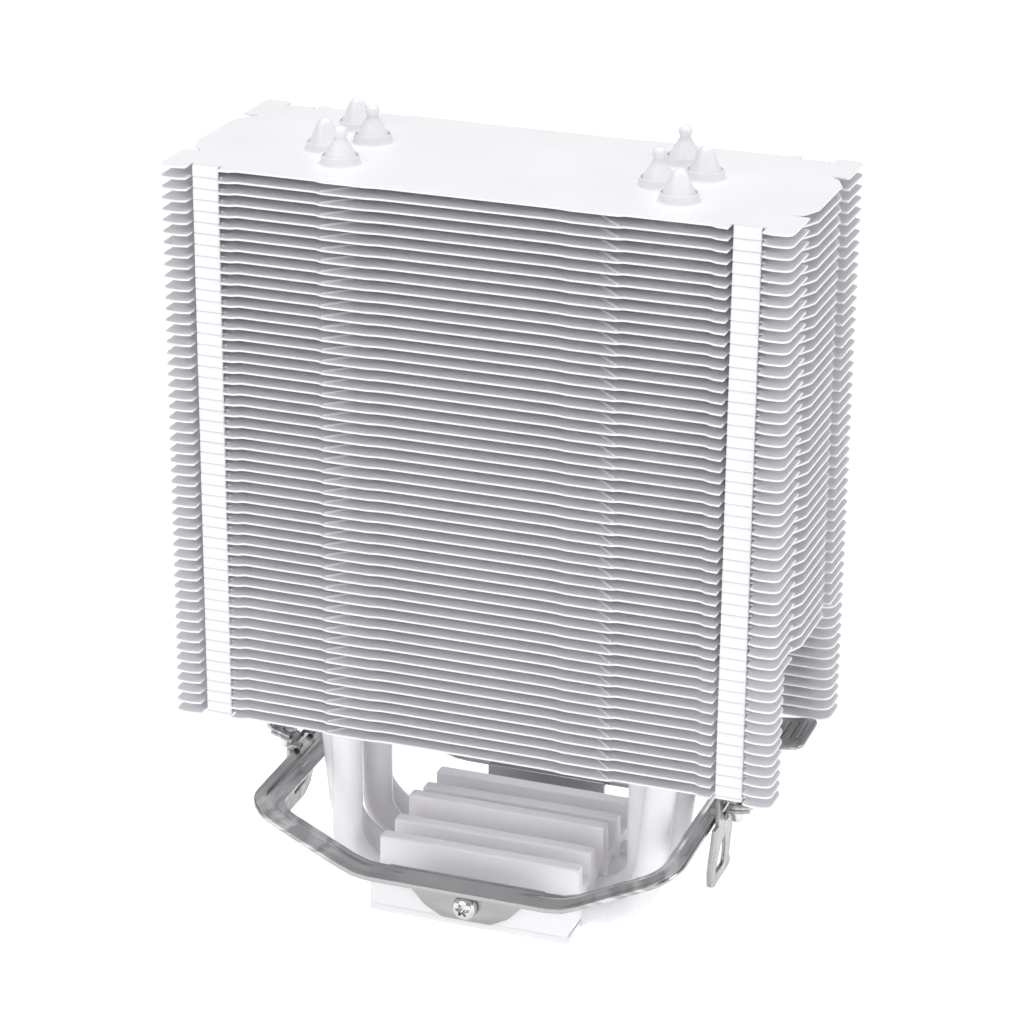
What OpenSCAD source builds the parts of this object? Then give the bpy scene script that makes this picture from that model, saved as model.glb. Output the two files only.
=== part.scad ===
// Tower cooler for a desktop processor: a stack of thin fins on four heat pipes, a ridged base and a
// spring steel mounting frame with a swinging hook and a thumb lever on each side.
// Z is up. The middle of the contact face of the base is the origin. The wide side of the fins is
// along X, and the front of the cooler faces -Y.

/* [Fins] */
// Number of fins in the stack
fin_count = 52; // [48:1:52]
// Distance from one fin to the next
fin_pitch = 2.15; // [2:0.05:2.2]
// Thickness of one fin
fin_t = 0.4; // [0.3:0.05:0.5]
// Height of the underside of the lowest fin above the contact face
fin_start = 37.2; // [36.5:0.1:38]
// Number of lower fins cut away at the sides for the thumbs
cut_fins = 12; // [10:1:12]

/* [Heat pipes] */
// Outside diameter of a heat pipe
pipe_d = 6; // [5.6:0.1:6]
// Distance between neighbouring pipes
pipe_pitch = 7.8; // [7.6:0.1:8]

/* [Base] */
// Width of the base
base_w = 41; // [40:0.5:41]
// Depth of the base
base_l = 44.4; // [44:0.2:44.4]
// Thickness of the contact plate
plate_t = 1.7; // [1.2:0.1:2]
// Height of the ridges above the contact face
ridge_top = 13.5; // [12:0.1:14]
// Extra height of the middle ridge
ridge_extra = 1.8; // [1:0.1:2]

/* [Mounting frame] */
// Thickness of the sheet of the frame
frame_t = 1; // [0.8:0.1:1]
// Angle of the raised sides of the frame
wing_angle = 26.5; // [26:0.1:27]
// Angle by which the back of the frame stands higher than the front
frame_tilt = 1.6; // [1.4:0.1:1.8]

/* [Hooks] */
// Thickness of the sheet of the hooks and of the levers
hook_t = 0.8; // [0.6:0.1:0.8]
// Length of a hook below the edge of the frame
hook_l = 14.8; // [14:0.1:15]
// Width of a hook
hook_w = 13.5; // [13:0.1:13.8]
// Angle by which the foot of a hook leans in
hook_lean = 5; // [4:0.5:6]
// Angle by which the left clip hangs further out than the right one
left_swing = 9; // [0:1:10]

/* [View] */
// Sub-part to show, or all

/* [Hidden] */
white = [0.93, 0.93, 0.95];
steel = [0.62, 0.61, 0.62];
chrome = [0.82, 0.82, 0.82];
pipe_r = pipe_d / 2;
leg_in = 29.3;
leg_out = 35.6;
bend_start = 20.5;
stack_top = fin_start + (fin_count - 1) * fin_pitch + fin_t;
collar_h = 1.7;
group = 13;
// Recess at both ends of a fin for the folded tab, and the tab in it
strip_in = 48.4;
strip_out = 54.6;
tab_in = 49;
tab_out = 54;
tab_y = 22.7;
// Cut in the side of the lower fins
notch_x = 44;
notch_y = 16;
play = 0.02;
screw_z = 5.3;
wing_x = 20.8;
frame_z = 10.8;
// Edge of the raised sides, which the hooks curl round, above the sheet of the flat bars
rim_x = 44.1;
edge_x = rim_x - frame_t / 2 * sin(wing_angle);
edge_z = (rim_x - wing_x) * tan(wing_angle) + frame_t / 2 * cos(wing_angle);
curl_r = frame_t / 2 + 0.05;
hook_y = -2;
lip_ys = [-2.8, 4];
lip_w = 1.6;
// Upright ear at the front of a hook
ear_y = -6;
ear_w = 2.5;
ear_h = 5.2;
// Tongue of a hook, seen from the edge of the frame: it rises outwards
tongue_y = 0.8;
tongue_w = 4.4;
tongue_l = 5.4;
tongue_angle = 8;
tongue_z = 0.05;
rivet_x = 2.9;
// Riser of the thumb lever and its pad, which slopes like the tongue
riser_x = 6.1;
riser_low = 2.1;
riser_w = 6.4;
pad_y = -1;
pad_z = 18.8;
pad_l = 11.5;
pad_w = 13;
pipe_hole_r = pipe_r + play;
pipe_flat = 5;

// Right front quarter of the outline of a fin, from the middle of the front to the side
front_edge = [[15, -23.5], [18, -23.6], [19.4, -23.95], [28.3, -23.95], [29.3, -23.35], [45.4, -23.3],
              [46.4, -23.9], [strip_in, -24], [strip_in, -tab_y], [strip_out, -tab_y],
              [strip_out, -24.3], [56, -24.7]];
ear_corner = [for (a = [-90 : 18 : 0]) [56 + 4 * cos(a), -20.7 + 4 * sin(a)]];
slit = [[60, -13.2], [56.8, -13.2], [56.8, -12.9], [58.6, -11.4], [59.4, -9.6], [60.2, -7.7]];
full_side = concat(front_edge, ear_corner, slit);

// The same for a lower fin, where the side is cut away behind a round ear
ear_end = [for (a = [0 : 18 : 90]) [57.5 + 2.5 * cos(a), -notch_y - 2.5 + 2.5 * sin(a)]];
cut_side = concat(front_edge, ear_corner, ear_end, [[notch_x, -notch_y]]);

function flip_x(p) = [for (q = p) [-q[0], q[1]]];
function flip_y(p) = [for (q = p) [q[0], -q[1]]];
function back(p) = [for (i = [len(p) - 1 : -1 : 0]) p[i]];

// Full outline of a fin from one quarter of it, the same at the front and the back
function right_half(quarter) = concat(quarter, back(flip_y(quarter)));
function fin_outline(quarter) = concat(right_half(quarter), back(flip_x(right_half(quarter))));

// Side of a pipe leg and of its bend: pipes 1 and 3 stand wide on the right, 2 and 4 on the left
function leg_left(i) = i % 2 == 0 ? leg_in : leg_out;
function leg_right(i) = i % 2 == 0 ? leg_out : leg_in;
function pipe_y(i) = (i - 1.5) * pipe_pitch;

module at_pipes() {
    for (i = [0 : 3]) {
        translate([-leg_left(i), pipe_y(i)]) children();
        translate([leg_right(i), pipe_y(i)]) children();
    }
}

module fin_2d(quarter) {
    difference() {
        polygon(fin_outline(quarter));
        at_pipes() circle(r = pipe_hole_r, $fn = 48);
    }
}

// Collars round the pipes, wall thick and from the underside of the fin to height h
module collars(wall, h) {
    linear_extrude(h)
        difference() {
            at_pipes() circle(r = pipe_r + wall, $fn = 48);
            at_pipes() circle(r = pipe_hole_r, $fn = 48);
        }
}

// Folded tabs at both ends of a fin, from its upper face down by h
module tabs(h) {
    for (sx = [-1, 1], sy = [-1, 1])
        translate([sx * (tab_in + tab_out) / 2, sy * (tab_y - fin_t / 2 + 0.1), fin_t - h / 2])
            cube([tab_out - tab_in, fin_t, h], center = true);
}

// One fin: its collars reach up to the next fin and its tabs reach down to the one below
module fin(k) {
    tab_h = k == 0 ? fin_t + 0.3 : fin_pitch - play;
    color(white) translate([0, 0, fin_start + k * fin_pitch]) {
        linear_extrude(fin_t) fin_2d(k < cut_fins ? cut_side : full_side);
        collars(0.4, fin_pitch - play);
        tabs(tab_h);
    }
}

module fins(first, last) {
    for (k = [first : last]) fin(k);
}

module fins_lower() {
    fins(0, group - 1);
}

module fins_middle_low() {
    fins(group, 2 * group - 1);
}

module fins_middle_high() {
    fins(2 * group, 3 * group - 1);
}

module fins_upper() {
    fins(3 * group, fin_count - 2);
}

// The top fin carries a taller collar round every pipe end
module fin_top() {
    color(white) translate([0, 0, stack_top - fin_t]) {
        linear_extrude(fin_t) fin_2d(full_side);
        collars(0.6, fin_t + collar_h);
        tabs(fin_pitch - play);
    }
}

// Bend of a pipe that starts downwards at the origin and turns up towards +X through angle a
module bend(radius, r, a) {
    translate([0, 0, radius])
        rotate([90, 0, 0])
            rotate_extrude(angle = a, start = -90, $fn = 96)
                translate([radius, 0]) circle(r = r, $fn = 48);
}

// Leg that stands close to the base: one tight bend
module leg_near(r, top) {
    radius = leg_in - bend_start;
    bend(radius, r, 90);
    translate([radius, 0, radius]) cylinder(r = r, h = top - radius, $fn = 48);
}

// Leg that stands further out: a wide bend, a leaning length and a short bend back to upright
module leg_far(r, top) {
    radius = 13;
    lean = 6;
    back_r = 20;
    x1 = radius * cos(lean);
    z1 = radius * (1 - sin(lean));
    x3 = leg_out - bend_start;
    x2 = x3 - back_r * (1 - cos(lean));
    z2 = z1 + (x2 - x1) / tan(lean);
    z3 = z2 + back_r * sin(lean);
    bend(radius, r, 90 - lean);
    translate([x1, 0, z1]) rotate([0, lean, 0])
        translate([0, 0, -0.3]) cylinder(r = r - 0.03, h = (z2 - z1) / cos(lean) + 0.6, $fn = 48);
    translate([x3 - back_r, 0, z3])
        rotate([90, 0, 0])
            rotate_extrude(angle = lean, start = -lean, $fn = 96)
                translate([back_r, 0]) circle(r = r, $fn = 48);
    translate([x3, 0, z3]) cylinder(r = r, h = top - z3, $fn = 48);
}

// Section of a pipe inside the base, with the flat that touches the processor; gap is play round it
module flat_section(gap) {
    circle(r = pipe_r + gap, $fn = 48);
    translate([-pipe_flat / 2 - gap, -pipe_r]) square([pipe_flat + 2 * gap, pipe_r]);
}

// Length of pipe section along X from -half to half
module along_base(half, gap) {
    translate([-half, 0, 0]) rotate([90, 0, 90]) linear_extrude(2 * half) flat_section(gap);
}

// Solid run of pipe i: flat length in the base and both legs, which end at height top
module pipe_run(i, r, top) {
    translate([0, pipe_y(i), pipe_r]) {
        along_base(bend_start, 0);
        translate([bend_start, 0, 0]) {
            if (i % 2 == 0) leg_far(r, top - pipe_r);
            else leg_near(r, top - pipe_r);
        }
        mirror([1, 0, 0]) translate([bend_start, 0, 0]) {
            if (i % 2 == 0) leg_near(r, top - pipe_r);
            else leg_far(r, top - pipe_r);
        }
    }
}

// Closed end that was drawn in to a dome
module dome_end() {
    rotate_extrude($fn = 48)
        polygon([[0, -2], [pipe_r, -2], [pipe_r, 0], [2.75, 0.5], [2.35, 2.1], [1.9, 3.6],
                 [1.5, 4.3], [0.9, 4.7], [0, 4.8]]);
}

// Closed end with the bead left where the pipe was filled and sealed
module bead_end() {
    rotate_extrude($fn = 48)
        polygon([[0, -2], [pipe_r, -2], [pipe_r, 0], [2.75, 0.5], [2, 2.1], [1.2, 3.3],
                 [1.2, 3.7], [1.35, 4.3], [1.3, 5], [0.9, 5.5], [0, 5.7]]);
}

module heatpipe(i) {
    top = stack_top + collar_h - 0.3;
    color(white) {
        pipe_run(i, pipe_r, top);
        translate([-leg_left(i), pipe_y(i), top]) {
            if (i % 2 == 0) bead_end();
            else dome_end();
        }
        translate([leg_right(i), pipe_y(i), top]) {
            if (i % 2 == 0) dome_end();
            else bead_end();
        }
    }
}

module heatpipe_1() {
    heatpipe(0);
}

module heatpipe_2() {
    heatpipe(1);
}

module heatpipe_3() {
    heatpipe(2);
}

module heatpipe_4() {
    heatpipe(3);
}

// Upper half of the base: a block over the pipes with five ridges, the middle one taller
module base_block() {
    floor_z = 8.6;
    color(white)
        difference() {
            union() {
                translate([-base_w / 2, -base_l / 2, plate_t]) cube([base_w, base_l, 7.3 - plate_t]);
                translate([-base_w / 2, -17, plate_t]) cube([base_w, 34, floor_z - plate_t]);
                for (k = [-2 : 2])
                    translate([-base_w / 2, k * 7.6 - 1.5, floor_z - 1])
                        cube([base_w, 3, ridge_top - floor_z + 1 + (k == 0 ? ridge_extra : 0)]);
            }
            for (i = [0 : 3]) translate([0, pipe_y(i), pipe_r]) along_base(base_w, play);
            for (s = [-1, 1])
                translate([0, s * (base_l / 2 + 1), screw_z])
                    rotate([s * 90, 0, 0]) cylinder(r = 1.5, h = 8, $fn = 48);
        }
}

// Lower half of the base with a slot for the flat of every pipe
module contact_plate() {
    color([0.8, 0.8, 0.82])
        difference() {
            translate([-base_w / 2 + 0.15, -base_l / 2 + 0.15, 0])
                cube([base_w - 0.3, base_l - 0.3, plate_t]);
            for (i = [0 : 3]) translate([0, pipe_y(i), pipe_r]) along_base(base_w, play);
        }
}

// Corners of a rectangle with half sizes hx and hy and corner radius r
function rounded(hx, hy, r) = [
    for (c = [[1, 1, 0], [-1, 1, 90], [-1, -1, 180], [1, -1, 270]], a = [0 : 15 : 90])
        [c[0] * (hx - r) + r * cos(c[2] + a), c[1] * (hy - r) + r * sin(c[2] + a)]
];

// Flat pattern of the frame before its sides are bent up
module frame_2d() {
    difference() {
        polygon(rounded(wing_x + (rim_x - wing_x) / cos(wing_angle), 29, 7));
        translate([0, 0.55]) polygon(rounded(wing_x + (39.1 - wing_x) / cos(wing_angle), 23.45, 3.4));
    }
}

// Flat pattern of the embossed rib that runs along the middle of the raised sides
module rib_2d() {
    difference() {
        polygon(rounded(wing_x + (42.2 - wing_x) / cos(wing_angle), 26.7, 5.6));
        polygon(rounded(wing_x + (41.1 - wing_x) / cos(wing_angle), 25.5, 4.8));
    }
}

// Part of a flat pattern that lies in the raised side on the right
module wing_part() {
    intersection() {
        children();
        translate([wing_x + 30, 0]) square([60, 80], center = true);
    }
}

// Places the sheet of the flat bars, which leans back a little
module on_frame() {
    translate([0, 0, frame_z]) rotate([frame_tilt, 0, 0]) children();
}

// Closed steel frame round the base: a flat bar at the front and the back, sides bent up, and a tab
// down the front and the back of the base for the two pivot screws
module mounting_frame() {
    color(steel) {
        difference() {
            union() {
                on_frame() {
                    linear_extrude(frame_t)
                        intersection() {
                            frame_2d();
                            square([2 * wing_x, 80], center = true);
                        }
                    for (s = [0, 1]) mirror([s, 0, 0])
                        translate([wing_x, 0, 0]) rotate([0, -wing_angle, 0])
                            translate([-wing_x, 0, 0]) {
                                linear_extrude(frame_t) wing_part() frame_2d();
                                linear_extrude(frame_t + 0.35) wing_part() translate([0.4, 0]) rib_2d();
                            }
                }
                translate([0, -base_l / 2 - 0.1, 0]) rotate([90, 0, 0]) linear_extrude(frame_t)
                    polygon([[-15.5, 10.9], [-11.6, 7.2], [-8.6, 4], [-5.4, 2], [5.4, 2],
                             [8.6, 4], [11.6, 7.2], [15.5, 10.9]]);
                translate([-12.5, base_l / 2 + 0.1, 2]) cube([25, frame_t, 10.3]);
                translate([-12.5, base_l / 2 + 0.1, 11.6]) cube([25, 3, frame_t - 0.1]);
            }
            for (s = [-1, 1])
                translate([0, s * base_l / 2, screw_z])
                    rotate([s * -90, 0, 0]) translate([0, 0, -4]) cylinder(r = 1.5, h = 9, $fn = 48);
        }
    }
}

// Pan head screw with a cross recess that holds a tab of the frame and lets it rock
module frame_screw() {
    color(chrome)
        difference() {
            union() {
                cylinder(r = 1.45, h = 7.2, $fn = 48);
                translate([0, 0, 7.2]) rotate_extrude($fn = 48)
                    polygon([[0, 0], [2.45, 0], [2.45, 0.9], [2, 1.6], [1.2, 2], [0, 2.1]]);
            }
            for (a = [0, 90]) translate([0, 0, 9]) rotate([0, 0, a]) cube([2.8, 0.6, 1.6], center = true);
        }
}

module frame_screw_front() {
    translate([0, -base_l / 2 + 6, screw_z]) rotate([90, 0, 0]) frame_screw();
}

module frame_screw_rear() {
    translate([0, base_l / 2 - 6, screw_z]) rotate([-90, 0, 0]) frame_screw();
}

// Places a part of the right clip, which is drawn from the edge of the frame: X outwards, Z up
module on_edge() {
    on_frame() translate([edge_x, 0, edge_z]) children();
}

// Hook for the right side: a window plate that hangs outside the frame with an upright ear, two lips
// that curl over the edge of the frame and a tongue for the lever
module hook() {
    front = -6.5;
    rear = front + hook_w;
    color(steel) on_edge() {
        translate([0, hook_y, 0]) rotate([0, hook_lean, 0])
            translate([curl_r, 0, -hook_l]) rotate([90, 0, 90]) linear_extrude(hook_t)
                difference() {
                    polygon([[front + 4.9, 0], [rear + 1, 0], [rear + 1.8, 0.7], [rear + 1.5, 1.5],
                             [rear, 3], [rear, hook_l], [front + 0.4, hook_l], [front, 5],
                             [front + 1.1, 2.4], [front + 2.9, 0.8]]);
                    polygon([[-2.2, 3.2], [3.4, 2.6], [3.8, 3.6], [2.9, 8], [1.9, 9.6], [0, 9.6],
                             [-1.4, 7.4]]);
                }
        translate([curl_r, ear_y, -0.3]) cube([hook_t, ear_w, ear_h]);
        for (y = lip_ys) translate([0, y + lip_w / 2, 0]) {
            rotate([90, 0, 0])
                rotate_extrude(angle = 90 + hook_lean, start = -hook_lean, $fn = 96)
                    translate([curl_r, 0]) square([hook_t, lip_w]);
            translate([-1.4, -lip_w, curl_r]) cube([1.4, lip_w, hook_t]);
        }
        translate([0, tongue_y, tongue_z]) rotate([0, -tongue_angle, 0]) {
            translate([curl_r, -tongue_w / 2, 0]) cube([tongue_l, tongue_w, hook_t]);
            translate([curl_r, -tongue_w / 2, -1.6]) cube([hook_t, tongue_w, 1.7]);
        }
    }
}

// Thumb lever for the right side: a foot on the tongue of the hook, a riser and a ribbed pad
module thumb_lever() {
    color(steel) on_edge() {
        translate([0, 0, tongue_z]) rotate([0, -tongue_angle, 0])
            translate([2, tongue_y - tongue_w / 2, hook_t]) cube([4.8, tongue_w, hook_t]);
        translate([riser_x, -riser_w / 2, riser_low]) cube([hook_t, riser_w, pad_z - riser_low - 0.5]);
        translate([riser_x, pad_y, pad_z]) rotate([0, -tongue_angle, 0]) {
            translate([pad_l / 2, 0, -hook_t]) linear_extrude(hook_t)
                polygon(rounded(pad_l / 2, pad_w / 2, 2.4));
            for (k = [-1 : 1])
                translate([7.6 + 1.7 * k, -2.8, -0.1]) cube([0.5, 7.2, 0.35]);
        }
    }
}

// Rivet that joins a lever to a hook
module lever_rivet() {
    color(chrome) on_edge() translate([0, tongue_y, tongue_z]) rotate([0, -tongue_angle, 0])
        translate([rivet_x, 0, 0]) {
            translate([0, 0, -2.5]) cylinder(r = 1.25, h = 2.5, $fn = 48);
            translate([0, 0, 2 * hook_t]) cylinder(r = 1.25, h = 0.6, $fn = 48);
        }
}

// Turns a part of the right clip round to the left side of the frame, where it hangs further out
module turned() {
    on_frame() rotate([0, 0, 180])
        translate([edge_x, 0, edge_z]) rotate([0, -left_swing, 0]) translate([-edge_x, 0, -edge_z])
            rotate([-frame_tilt, 0, 0]) translate([0, 0, -frame_z]) children();
}

module hook_right() {
    hook();
}

module hook_left() {
    turned() hook();
}

module thumb_lever_right() {
    thumb_lever();
}

module thumb_lever_left() {
    turned() thumb_lever();
}

module lever_rivet_right() {
    lever_rivet();
}

module lever_rivet_left() {
    turned() lever_rivet();
}

fin_top();
fins_upper();
fins_middle_high();
fins_middle_low();
fins_lower();
heatpipe_1();
heatpipe_2();
heatpipe_3();
heatpipe_4();
base_block();
contact_plate();
mounting_frame();
frame_screw_front();
frame_screw_rear();
hook_left();
hook_right();
thumb_lever_left();
thumb_lever_right();
lever_rivet_left();
lever_rivet_right();
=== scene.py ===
"""Finished look of the tower cooler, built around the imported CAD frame.

Sizes are in millimetres and become metres when a mesh is made. X is the wide side of the fins, the
front faces -Y and Z is up, as in the frame.
"""

import math
import random

import bmesh
import bpy
from mathutils import Matrix, Vector


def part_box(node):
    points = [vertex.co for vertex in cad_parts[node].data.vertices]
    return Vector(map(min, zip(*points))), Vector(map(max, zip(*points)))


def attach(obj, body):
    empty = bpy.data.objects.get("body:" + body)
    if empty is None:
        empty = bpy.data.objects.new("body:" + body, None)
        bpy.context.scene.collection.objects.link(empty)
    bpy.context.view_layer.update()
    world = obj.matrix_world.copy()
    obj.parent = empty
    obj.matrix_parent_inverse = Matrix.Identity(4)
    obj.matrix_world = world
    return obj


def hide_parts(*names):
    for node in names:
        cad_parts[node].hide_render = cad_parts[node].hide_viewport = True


MM = 0.001
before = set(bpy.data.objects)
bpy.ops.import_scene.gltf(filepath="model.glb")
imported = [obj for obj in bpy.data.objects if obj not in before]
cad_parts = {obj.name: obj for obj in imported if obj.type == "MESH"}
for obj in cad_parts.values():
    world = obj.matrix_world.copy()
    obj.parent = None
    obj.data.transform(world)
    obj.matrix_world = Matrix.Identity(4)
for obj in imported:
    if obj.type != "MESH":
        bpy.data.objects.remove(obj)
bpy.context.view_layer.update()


def span(node):
    """Lowest and highest corner of a CAD node in millimetres."""
    low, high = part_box(node)
    return low / MM, high / MM


# ---------------------------------------------------------------- sizes taken from the frame

FIN_T = 0.4
FIN_GROUPS = ("fins_lower", "fins_middle_low", "fins_middle_high", "fins_upper")
GROUP = 13
FIN_COUNT = 52
CUT_FINS = 12
LOWEST_TAB = 0.3
COLLAR_TOP = span("fin_top")[1].z
TOP_FIN = COLLAR_TOP - 1.7 - FIN_T
FIN_START = span("fins_lower")[0].z + LOWEST_TAB
FIN_PITCH = (TOP_FIN - FIN_START) / (FIN_COUNT - 1)
PIPE_R = 3.0
PIPE_FLAT = 2.5
PIPE_YS = [sum(span(f"heatpipe_{i}")[k].y for k in (0, 1)) / 2 for i in (1, 2, 3, 4)]
LEG_IN, LEG_OUT = 29.3, 35.6
BASE_LOW, BASE_HIGH = span("base_block")
BASE_HX, BASE_HY = BASE_HIGH.x, BASE_HIGH.y
PLATE_T = BASE_LOW.z
SCREW_Z = 5.3
TAB_IN, TAB_OUT, TAB_FACE = 48.95, 54.05, 22.7
CREASE_OUTER, CREASE_INNER, CREASE_W = (28.4, 23.6), (23.4, 18.6), 0.6


# ---------------------------------------------------------------- materials


class Nodes:
    """Short way to build a node material."""

    def __init__(self, name):
        self.material = bpy.data.materials.new(name)
        self.material.use_nodes = True
        self.tree = self.material.node_tree
        self.shader = self.tree.nodes["Principled BSDF"]

    def add(self, kind, inputs=None, **settings):
        node = self.tree.nodes.new(kind)
        for key, value in settings.items():
            setattr(node, key, value)
        for key, value in (inputs or {}).items():
            if isinstance(value, bpy.types.NodeSocket):
                self.tree.links.new(value, node.inputs[key])
            else:
                node.inputs[key].default_value = value
        return node

    def set(self, **values):
        for key, value in values.items():
            socket = self.shader.inputs[key.replace("_", " ")]
            if isinstance(value, bpy.types.NodeSocket):
                self.tree.links.new(value, socket)
            else:
                socket.default_value = value

    def ramp(self, fac, stops):
        node = self.add("ShaderNodeValToRGB", {"Fac": fac})
        ramp = node.color_ramp
        while len(ramp.elements) < len(stops):
            ramp.elements.new(0.5)
        for element, (place, colour) in zip(ramp.elements, stops):
            element.position = place
            element.color = colour
        return node.outputs["Color"]


def grey(value, tint=0.0):
    """Colour a little towards blue for a positive tint."""
    return (value * (1 - tint), value * (1 - tint * 0.5), value, 1)


def coat(value):
    """White with a faint violet cast."""
    return (value * 0.98, value * 0.968, value, 1)


def powder_coat(name, value, rough=0.42):
    """White powder coat: faint orange peel, fine grain and slight unevenness of the white."""
    n = Nodes(name)
    place = n.add("ShaderNodeTexCoord").outputs["Object"]
    cloud = n.add("ShaderNodeTexNoise", {"Vector": place, "Scale": 60.0, "Detail": 3.0}).outputs["Fac"]
    peel = n.add("ShaderNodeTexNoise", {"Vector": place, "Scale": 1400.0, "Detail": 2.0}).outputs["Fac"]
    grain = n.add("ShaderNodeTexNoise", {"Vector": place, "Scale": 5200.0, "Detail": 2.0}).outputs["Fac"]
    n.set(
        Base_Color=n.ramp(cloud, [(0.3, coat(value * 0.975)), (0.7, coat(value))]),
        Roughness=n.ramp(cloud, [(0.25, grey(rough - 0.05)), (0.75, grey(rough + 0.06))]),
    )
    low = n.add("ShaderNodeBump", {"Height": peel, "Strength": 0.25, "Distance": 0.00004})
    high = n.add(
        "ShaderNodeBump",
        {"Height": grain, "Strength": 0.2, "Distance": 0.00001, "Normal": low.outputs["Normal"]},
    )
    n.set(Normal=high.outputs["Normal"])
    return n.material


def steel(name, value, rough, streak=(900.0, 60.0, 900.0), contrast=0.12, calm=None):
    """Polished steel with streaks in its colour along the axis of the smallest streak scale: rolling
    streaks, and on the frame, where they are strong, also painted reflection of dark surroundings.

    calm is a distance from the middle, in metres, inside which the streaks fade out.
    """
    n = Nodes(name)
    place = n.add("ShaderNodeTexCoord").outputs["Object"]
    stretched = n.add("ShaderNodeMapping", {"Vector": place, "Scale": streak}).outputs["Vector"]
    lines = n.add("ShaderNodeTexNoise", {"Vector": stretched, "Scale": 1.0, "Detail": 4.0}).outputs["Fac"]
    if calm:
        middle = 0.45
        across = n.add("ShaderNodeSeparateXYZ", {"Vector": place}).outputs["X"]
        away = n.add("ShaderNodeMath", {0: across}, operation="ABSOLUTE").outputs["Value"]
        share = n.add("ShaderNodeMapRange", {"Value": away, "From Min": calm, "From Max": calm * 1.4})
        even = n.add("ShaderNodeMath", {0: lines, 1: middle}, operation="SUBTRACT").outputs["Value"]
        faded = n.add("ShaderNodeMath", {0: even, 1: share.outputs["Result"]}, operation="MULTIPLY")
        added = n.add("ShaderNodeMath", {0: faded.outputs["Value"], 1: middle}, operation="ADD")
        lines = added.outputs["Value"]
    marks = n.add(
        "ShaderNodeTexNoise", {"Vector": place, "Scale": 260.0, "Detail": 5.0, "Roughness": 0.65}
    ).outputs["Fac"]
    n.set(
        Base_Color=n.ramp(lines, [(0.4, grey(value * (1 - contrast))), (0.62, grey(value))]),
        Metallic=1.0,
        Roughness=n.ramp(marks, [(0.35, grey(rough)), (0.72, grey(rough + 0.08))]),
    )
    bump = n.add("ShaderNodeBump", {"Height": lines, "Strength": 0.12, "Distance": 0.00003})
    n.set(Normal=bump.outputs["Normal"])
    return n.material


def machined(name, low, high):
    """Fine parallel lines of a milled metal face."""
    n = Nodes(name)
    place = n.add("ShaderNodeTexCoord").outputs["Object"]
    wave = n.add(
        "ShaderNodeTexWave",
        {"Vector": place, "Scale": 900.0, "Distortion": 0.6, "Detail": 2.0},
        bands_direction="Y",
    ).outputs["Fac"]
    n.set(
        Base_Color=n.ramp(wave, [(0.2, low), (0.8, high)]),
        Metallic=0.9,
        Roughness=n.ramp(wave, [(0.0, grey(0.24)), (1.0, grey(0.36))]),
    )
    bump = n.add("ShaderNodeBump", {"Height": wave, "Strength": 0.3, "Distance": 0.00002})
    n.set(Normal=bump.outputs["Normal"])
    return n.material


FIN_WHITE = powder_coat("fin_white", 0.87)
PIPE_WHITE = powder_coat("pipe_white", 0.85, rough=0.24)
BASE_WHITE = powder_coat("base_white", 0.93, rough=0.46)
# Frame: its strong dark streaks are painted reflection over its rolling streaks, standing in for the dark
# surroundings that the polished ring mirrors.
FRAME_STEEL_PAINTED_REFLECTIONS = steel("frame_steel_painted_reflections", 0.6, 0.18, streak=(110.0, 40.0, 900.0), contrast=0.42, calm=0.022)
HOOK_STEEL = steel("hook_steel", 0.42, 0.24, streak=(900.0, 500.0, 60.0), contrast=0.3)
LEVER_STEEL = steel("lever_steel", 0.48, 0.2, contrast=0.35)
CHROME = steel("chrome", 0.68, 0.1, contrast=0.05)
MILLED_PLATE = machined("milled_plate", grey(0.70, 0.01), grey(0.80, 0.01))
MILLED_COPPER = machined("milled_copper", (0.72, 0.36, 0.25, 1), (0.86, 0.47, 0.34, 1))


# ---------------------------------------------------------------- mesh helpers


def from_mesh(name, mesh, material, body, node):
    """Makes a piece of a finished mesh, in metres, rides it on its body and lets it stand for a node."""
    mesh.materials.clear()
    mesh.materials.append(material)
    piece = bpy.data.objects.new(name, mesh)
    bpy.context.scene.collection.objects.link(piece)
    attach(piece, body)
    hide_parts(node)
    return piece


def mill_underside(piece, material):
    """Gives the faces that lie in the contact plane the look of a milled face."""
    piece.data.materials.append(material)
    for face in piece.data.polygons:
        if face.normal.z < -0.95 and face.center.z < 0.05 * MM:
            face.material_index = 1


def finish_bmesh(bm, name, angle=35):
    """Turns a mesh in millimetres into a smooth one in metres, sharp where it bends by more than angle."""
    bmesh.ops.recalc_face_normals(bm, faces=bm.faces)
    mesh = bpy.data.meshes.new(name)
    bm.to_mesh(mesh)
    bm.free()
    mesh.transform(Matrix.Scale(MM, 4))
    mesh.shade_smooth()
    mesh.set_sharp_from_angle(angle=math.radians(angle))
    return mesh


def plate(outline, holes, thickness, bevel):
    """Flat plate in the XY plane, lower face at z = 0, with its edges rounded by bevel."""
    curve = bpy.data.curves.new("plate", "CURVE")
    curve.dimensions = "2D"
    curve.fill_mode = "BOTH"
    curve.extrude = thickness / 2 - bevel
    curve.bevel_depth = bevel
    curve.bevel_resolution = 1
    curve.offset = -bevel
    for loop in [outline, *holes]:
        spline = curve.splines.new("POLY")
        spline.points.add(len(loop) - 1)
        for point, (x, y) in zip(spline.points, loop):
            point.co = (x, y, 0, 1)
        spline.use_cyclic_u = True
    holder = bpy.data.objects.new("plate", curve)
    bpy.context.scene.collection.objects.link(holder)
    mesh = bpy.data.meshes.new_from_object(holder.evaluated_get(bpy.context.evaluated_depsgraph_get()))
    bpy.data.objects.remove(holder)
    bpy.data.curves.remove(curve)
    bm = bmesh.new()
    bm.from_mesh(mesh)
    bpy.data.meshes.remove(mesh)
    bmesh.ops.remove_doubles(bm, verts=bm.verts, dist=1e-5)
    bmesh.ops.translate(bm, verts=bm.verts, vec=(0, 0, thickness / 2))
    return bm


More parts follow.
